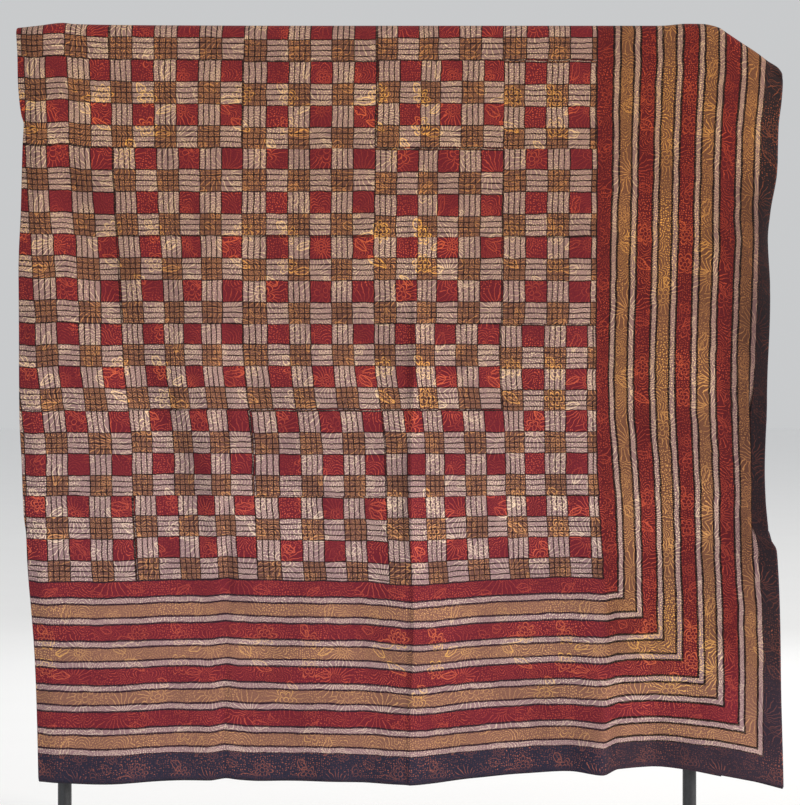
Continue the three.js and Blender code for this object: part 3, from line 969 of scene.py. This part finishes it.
def checked_field(cotton, u, v):
    """Ochre squares, red squares and the way to the nearest line and to the joints between blocks."""
    check_u = (u - FIRST_RED_U - (FRONT_TOP - v) * CHECK_LEAN) / REPEAT
    check_v = (v - FIRST_RED_V) / REPEAT
    blocks_u = (check_u - FIRST_JOINT_U) / BLOCK_ACROSS
    blocks_v = (check_v - FIRST_JOINT_V) / BLOCK_ALONG
    joint_u = cotton.size(cotton.rest(blocks_u + 0.5) - 0.5) * (BLOCK_ACROSS * REPEAT)
    joint_v = cotton.size(cotton.rest(blocks_v + 0.5) - 0.5) * (BLOCK_ALONG * REPEAT)
    slip_u, slip_v, _ = cotton.chance(cotton.whole(blocks_u), cotton.whole(blocks_v))
    in_up, up_line = line_bundle(cotton, check_u + (slip_u - 0.5) * BLOCK_SLIP)
    in_level, level_line = line_bundle(cotton, check_v + (slip_v - 0.5) * BLOCK_SLIP)
    ochre = in_up * in_level
    red = (1.0 - in_up) * (1.0 - in_level)
    to_line = cotton.least(cotton.size(up_line), cotton.size(level_line))
    return ochre, red, to_line, cotton.least(joint_u, joint_v + JOINT["level_thinner"])


def flower_block(cotton, u, v):
    """Blocks of flowers side by side: the place in a block, its luck, and how near its bright middle."""
    block_u = cotton.whole((u - FIRST_FLOWER_U) / FLOWER_BLOCK + 0.5)
    block_v = cotton.whole((v - FIRST_FLOWER_V) / FLOWER_BLOCK + 0.5)
    slip_u, slip_v, luck = cotton.chance(block_u, block_v)
    in_u = u - FIRST_FLOWER_U - block_u * FLOWER_BLOCK + slip_u * FLOWER_SLIP
    in_v = v - FIRST_FLOWER_V - block_v * FLOWER_BLOCK + slip_v * FLOWER_SLIP
    near = cotton.share(cotton.far(in_u, in_v), BRIGHT["start"], BRIGHT["whole"])
    in_middle = near * (luck * BRIGHT["by_luck"] + (1.0 - BRIGHT["by_luck"]))
    return in_u, in_v, luck, in_middle


def blooms(cotton, u, v, bold_half):
    """Flowers, and the rays, arcs and dots that fill the ground round them."""
    across, along, luck = cotton.cells(u, v, BLOOM)
    radius = cotton.far(across, along)
    angle = cotton.math("ARCTAN2", along, across)
    petals = cotton.whole(luck[0] * BLOOM["more_petals"] + BLOOM["petals"])
    swing = angle * petals * 0.5 + luck[2] * ANY_TURN
    size = luck[1] * BLOOM["more_size"] + BLOOM["size"]
    lobe = cotton.size(cotton.math("COSINE", swing)) ** BLOOM["roundness"]
    petal = size * (lobe * BLOOM["lobe"] + (1.0 - BLOOM["lobe"]))
    outline = cotton.line(radius - petal, bold_half)
    echo_line = cotton.line(radius - petal * BLOOM["echo"], bold_half)
    eye = cotton.line(radius - size * BLOOM["eye"], BLOOM["eye_half"])
    in_bloom = cotton.drawn(luck[2], BLOOM)
    flower = cotton.most(outline, cotton.most(echo_line, eye)) * in_bloom

    ring = (radius - petal) / ARC["step"]
    ring_line = cotton.line((cotton.rest(ring) - 0.5) * ARC["step"], ARC["half"])
    dash = cotton.rest(angle * radius / ARC["dash"] + cotton.whole(ring) * ARC["dash_shift"])
    ring_line = ring_line * cotton.over(dash, ARC["dash_gap"])
    ray_turn = FULL_TURN / RAY["count"]
    ray = (cotton.rest(angle * (1.0 / ray_turn)) - 0.5) * radius * ray_turn
    ray_line = cotton.line(ray, RAY["half"])
    is_ray = cotton.drawn(luck[0], RAY) * cotton.over(radius, RAY["from_middle"])
    dot_u, dot_v, dot_luck = cotton.cells(u, v, DOT)
    dots = cotton.line(cotton.far(dot_u, dot_v), DOT["half"])
    is_dot = cotton.drawn(luck[1], DOT)
    arcs = ray_line * is_ray + ring_line * (1.0 - is_ray)
    outside = cotton.most(cotton.over(radius - petal, BLOOM["clear"]), 1.0 - in_bloom)
    fill = (dots * is_dot + arcs * (1.0 - is_dot)) * outside
    sparse = (ray_line * is_ray + dots * (1.0 - is_ray) * dot_luck[0]) * outside
    return flower, fill, sparse


def leaves(cotton, u, v, bold_half):
    """Pointed leaves with a middle vein, turned any way."""
    leaf_u, leaf_v, luck = cotton.cells(u + LEAF["shift_u"], v + LEAF["shift_v"], LEAF)
    lean = luck[0] * ANY_TURN
    cos_lean = cotton.math("COSINE", lean)
    sin_lean = cotton.math("SINE", lean)
    lengthwise = leaf_u * cos_lean + leaf_v * sin_lean
    sideways = cotton.size(leaf_v * cos_lean - leaf_u * sin_lean)
    taper = lengthwise / (luck[1] * LEAF["more_length"] + LEAF["length"])
    side = (1.0 - taper * taper) * (luck[2] * LEAF["more_side"] + LEAF["side"])
    in_leaf = cotton.under(cotton.size(taper), 1.0) * cotton.drawn(luck[2], LEAF)
    vein = cotton.line(sideways, LEAF["vein_half"])
    return cotton.most(cotton.line(sideways - side, bold_half), vein) * in_leaf


def woven_cotton(cotton, u, v, speckle):
    """Plain weave with slubs, fine crinkles and a matt face."""
    warp, _ = cotton.noise(u * SLUB_STRETCH, v, SLUB_SPOTS, 1.0)
    weft, _ = cotton.noise(u, v * SLUB_STRETCH, SLUB_SPOTS, 1.0)
    crinkle, _ = cotton.noise(u, v, CRINKLE_SPOTS)
    cotton.bump((warp + weft) * SLUB_HEIGHT + crinkle, strength=0.35, depth=0.0012)
    cotton.set("Roughness", speckle * MATT["speckle"] + MATT["least"])
    cotton.set("Specular IOR Level", 0.15)
    cotton.set("Sheen Weight", 0.04)
    cotton.set("Sheen Roughness", 0.5)


def printed_cotton():
    """The whole print, worked out in millimetres on the flat cloth."""
    cotton = Finish("printed_cotton")
    flat = cotton.node("ShaderNodeUVMap", uv_map="flat_cloth")
    u, v, _ = cotton.parts(flat.outputs[0])
    u = u * MM
    v = v * MM
    hand_u, hand_v = hand_drawn(cotton, u, v)

    # Border stripes follow the nearest edge, so they meet in mitred corners
    from_side = cotton.least(hand_u, CLOTH_WIDTH * MM - hand_u) + BAND_CUT
    from_end = cotton.least(hand_v, CLOTH_LENGTH * MM - hand_v)
    inset = cotton.least(from_side, from_end)
    in_border = cotton.under(inset, BORDER)
    in_field = 1.0 - in_border
    in_band = cotton.under(inset, BAND)
    in_side = cotton.share(from_side, BORDER + SIDE_SOFT, BORDER - SIDE_SOFT)
    in_end = in_border * (1.0 - in_side)
    stripe_ochre, stripe_red, stripe_line = border_stripes(cotton, inset)
    check_ochre, check_red, check_line, joint = checked_field(cotton, hand_u, hand_v)
    ochre = check_ochre * in_field + stripe_ochre * in_border
    red = check_red * in_field + stripe_red * in_border

    # Outlines, worn from place to place
    to_line = check_line * in_field + stripe_line * in_border
    to_line = cotton.least(to_line, cotton.size(inset - BORDER))
    worn, _ = cotton.noise(u, v, WORN_SPOTS)
    ink_half = worn * INK["worn"] + INK["half"] - check_ochre * in_field * INK["ochre_thinner"]
    ink_half = ink_half + in_border * (in_side * INK["side_wider"] + INK["border_wider"])
    ink = cotton.share(to_line - ink_half, INK["soft"], -INK["soft"])
    joint_ink = cotton.line(joint, worn * JOINT["worn"] + JOINT["half"]) * in_field
    ink = cotton.most(ink, joint_ink) * (1.0 - in_band)

    # Fine lines of the under-print, bolder in the middle of each block and faint in patches
    _, wander = cotton.noise(u, v, WANDER_SPOTS)
    drawn_u = hand_u + (wander[0] - 0.5) * WANDER
    drawn_v = hand_v + (wander[1] - 0.5) * WANDER
    in_u, in_v, luck, in_middle = flower_block(cotton, drawn_u, drawn_v)
    bold_half = in_middle * BRIGHT["bolder"] + BRIGHT["bold_half"]
    flower, fill, sparse = blooms(cotton, in_u, in_v, bold_half)
    bold = cotton.most(flower, leaves(cotton, in_u, in_v, bold_half))
    fill = fill * (1.0 - in_band) + sparse * in_band
    patches, _ = cotton.noise(u, v, PATCH_SPOTS)
    fill_strength = cotton.share(patches, FILL["start"], FILL["whole"]) * FILL["patch"] + FILL["least"]
    fill_strength = fill_strength - in_end * FILL["end_fainter"]
    fill_strength = fill_strength + in_side * in_middle * (1.0 - red) * FILL["side_brighter"]
    bold_strength = 1.0 - in_border * BOLD["border_fainter"] - in_band * BOLD["band_fainter"]
    strength = luck * BRIGHT["luckier"] + BRIGHT["least"] + in_middle * BRIGHT["brighter"]

    # Where the fine lines are quiet: the hem itself, patches of the side band and of the red squares, and
    # the painted shade where the free edge curls back
    # Painted shade where the free edge curls back: darker, with quieter fine lines
    curl_shade = cotton.share(from_side, CURL_SHADE_PLACE["side"], CURL_SHADE_PLACE["side_whole"])
    curl_shade = curl_shade * cotton.share(from_end, CURL_SHADE_PLACE["low"], CURL_SHADE_PLACE["low_whole"])
    curl_shade = curl_shade * cotton.share(from_end, CURL_SHADE_PLACE["high"], CURL_SHADE_PLACE["high_whole"])
    plain_hem = cotton.share(from_end, PLAIN_HEM["start"], PLAIN_HEM["whole"]) * PLAIN_HEM["share"]
    faint_side = in_side * cotton.share(patches, FAINT_SIDE["start"], FAINT_SIDE["whole"])
    faint_side = faint_side * FAINT_SIDE["share"]
    quiet_band = cotton.most(plain_hem, cotton.most(faint_side, curl_shade * CURL_SHADE_PLACE["quiet"]))
    faint_red = red * in_field * cotton.share(patches, FAINT_RED["start"], FAINT_RED["whole"])
    quiet = in_band * quiet_band + faint_red * (1.0 - in_middle) * FAINT_RED["share"]
    motif = cotton.most(bold * bold_strength, fill * fill_strength) * strength * (1.0 - quiet)
    motif = motif * (1.0 - ink * INK["covers"])

    # Dye of each area, for the ground and for the fine lines
    ochre_ground = cotton.mix(in_field, BORDER_OCHRE_GROUND, FIELD_OCHRE_GROUND)
    ochre_lines = cotton.mix(in_field, BORDER_OCHRE_LINES, FIELD_OCHRE_LINES)
    ground = cotton.mix(ochre, PALE_GROUND, ochre_ground)
    ground = cotton.mix(red, ground, RED_GROUND)
    ground = cotton.mix(in_band, ground, cotton.mix(in_side, END_BAND_GROUND, SIDE_BAND_GROUND))
    ground = cotton.mix(ink, ground, cotton.mix(in_end, OUTLINE, END_BORDER_OUTLINE))
    lines = cotton.mix(ochre, PALE_LINES, ochre_lines)
    lines = cotton.mix(red, lines, RED_LINES)
    lines = cotton.mix(in_band, lines, BAND_LINES)
    # Painted shade with a warm tint towards the rail, and more gold lines there
    near_rail = cotton.share(cotton.least(v, CLOTH_LENGTH * MM - v), NEAR_RAIL["start"], NEAR_RAIL["whole"])
    gold = cotton.most(near_rail, cotton.share(from_end, GOLD["low"], GOLD["low_whole"]))
    gold = gold * in_middle * cotton.most(bold, fill * in_side)
    gold = gold * (1.0 - in_band) * (1.0 - red * GOLD["less_on_red"]) * GOLD["share"]
    lines = cotton.mix(gold, lines, GOLD_LINES)

    # The darker side border and the painted shade, then the fine lines over the ground, and a tone that is
    # uneven from place to place
    deep = in_side * cotton.share(from_end, DEEP["start"], DEEP["whole"])
    deep = deep * ((red + ochre) * (1.0 - DEEP["on_pale"]) + DEEP["on_pale"])
    for share, darkening in ((deep, SIDE_DARKER), (near_rail, PAINTED_RAIL_SHADE), (curl_shade, PAINTED_CURL_SHADE)):
        ground = cotton.tint(ground, share, darkening["ground"])
        lines = cotton.tint(lines, share, darkening["lines"])
    speckle, _ = cotton.noise(u, v, SPECKLE_SPOTS, 1.0)
    cloud, _ = cotton.noise(u, v, CLOUD_SPOTS)
    shaded = cotton.node("ShaderNodeVectorMath", operation="SCALE")
    cotton.put(shaded.inputs[0], cotton.mix(motif, ground, lines))
    cotton.put(shaded.inputs["Scale"], speckle * TONE["speckle"] + cloud * TONE["cloud"] + TONE["least"])
    cotton.set("Base Color", shaded.outputs[0])
    woven_cotton(cotton, u, v, speckle)
    return cotton.material


def black_paint():
    """Satin paint with a fine grain."""
    paint = Finish("black_satin_paint")
    grain = paint.grain(scale=260.0, detail=3.0)
    paint.set("Base Color", paint.mix(paint.share(grain, 0.35, 0.75), BLACK_PAINT, WORN_PAINT))
    paint.set("Roughness", grain * 0.2 + 0.32)
    paint.bump(grain, strength=0.08, depth=0.0004)
    return paint.material


def pale_floor():
    """A plain pale floor under the feet."""
    finish = Finish("pale_floor")
    finish.set("Base Color", finish.mix(finish.grain(scale=3.0, detail=2.0), FLOOR_PALE, FLOOR_PALER))
    finish.set("Roughness", 1.0)
    finish.set("Specular IOR Level", 0.1)
    bpy.ops.mesh.primitive_plane_add(size=FLOOR_SIZE, location=(0, 0, -FLOOR_GAP))
    floor = bpy.context.object
    floor.name = "floor"
    floor.data.materials.append(finish.material)


def soft_light(row):
    """A square studio light that faces the middle of the object."""
    lamp = bpy.data.lights.new(row["name"], "AREA")
    lamp.shape = "SQUARE"
    lamp.size = row["side"]
    lamp.energy = row["power"]
    lamp.color = row["tint"]
    light = bpy.data.objects.new(row["name"], lamp)
    bpy.context.collection.objects.link(light)
    light.location = row["place"]
    way = np.array(LIGHTS_AIM) - np.array(row["place"])
    yaw = math.atan2(way[0], way[1])
    pitch = math.atan2(math.hypot(way[0], way[1]), -way[2])
    light.rotation_euler = (pitch, 0.0, -yaw)


def studio():
    """Pale light all round and three soft lights."""
    scene = bpy.context.scene
    scene.view_settings.view_transform = "Standard"
    world = bpy.data.worlds.new("studio")
    scene.world = world
    world.use_nodes = True
    sky = world.node_tree.nodes["Background"]
    sky.inputs["Color"].default_value = SKY_TINT
    sky.inputs["Strength"].default_value = SKY_STRENGTH
    for row in LIGHTS:
        soft_light(row)


def photo_camera():
    """A level camera at the photograph's angle."""
    lens = bpy.data.cameras.new("camera")
    lens.sensor_fit = "VERTICAL"
    lens.sensor_height = SENSOR_HEIGHT
    lens.lens = SENSOR_HEIGHT * CAMERA_DISTANCE / SEEN_HEIGHT
    camera = bpy.data.objects.new("camera", lens)
    bpy.context.collection.objects.link(camera)
    camera.location = (CLOTH_MIDDLE, -CAMERA_DISTANCE - CLOTH_FRONT, CAMERA_HEIGHT)
    camera.rotation_euler = (math.pi / 2, 0.0, 0.0)
    bpy.context.scene.camera = camera


photo_camera()
studio()
pale_floor()

cloth = bedspread()
cloth.data.materials.append(printed_cotton())
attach(cloth, "root")
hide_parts("bedspread")

paint = black_paint()
for node in ("top_rail", "left_post", "right_post", "left_foot", "right_foot"):
    for slot in bpy.data.objects[node].material_slots:
        slot.material = paint
